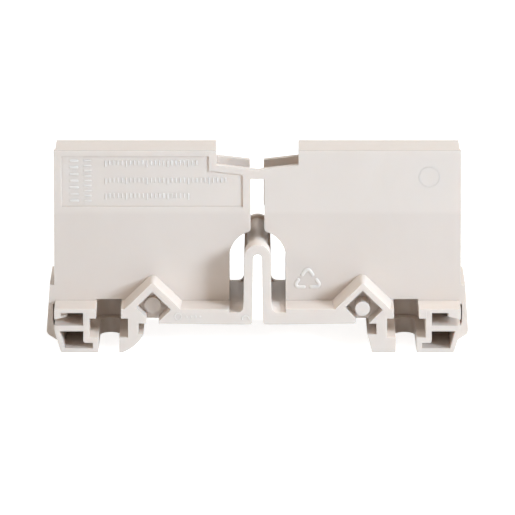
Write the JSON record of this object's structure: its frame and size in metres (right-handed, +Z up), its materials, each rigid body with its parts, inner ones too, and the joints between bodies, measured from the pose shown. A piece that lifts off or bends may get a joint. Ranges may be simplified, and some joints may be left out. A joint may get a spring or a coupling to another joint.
{
  "type": "connector mounting carrier",
  "caption": "Moulded plastic carrier that clips over a mounting rail and holds push-in wire connectors, with a bent spring between its halves and screw slots in its feet.",
  "frame": {"origin": "centre of the bounding box at the height of the undersides of the feet", "axes": "+X along the carrier across its jaws, +Y from the front plate to the open back, +Z up from the feet"},
  "size_m": [0.0628, 0.0164, 0.0297],
  "materials": {
    "carrier": "fine matt moulded polyamide"
  },
  "bodies": {
    "root": {"carrier": "carrier"}
  },
  "joints": []
}
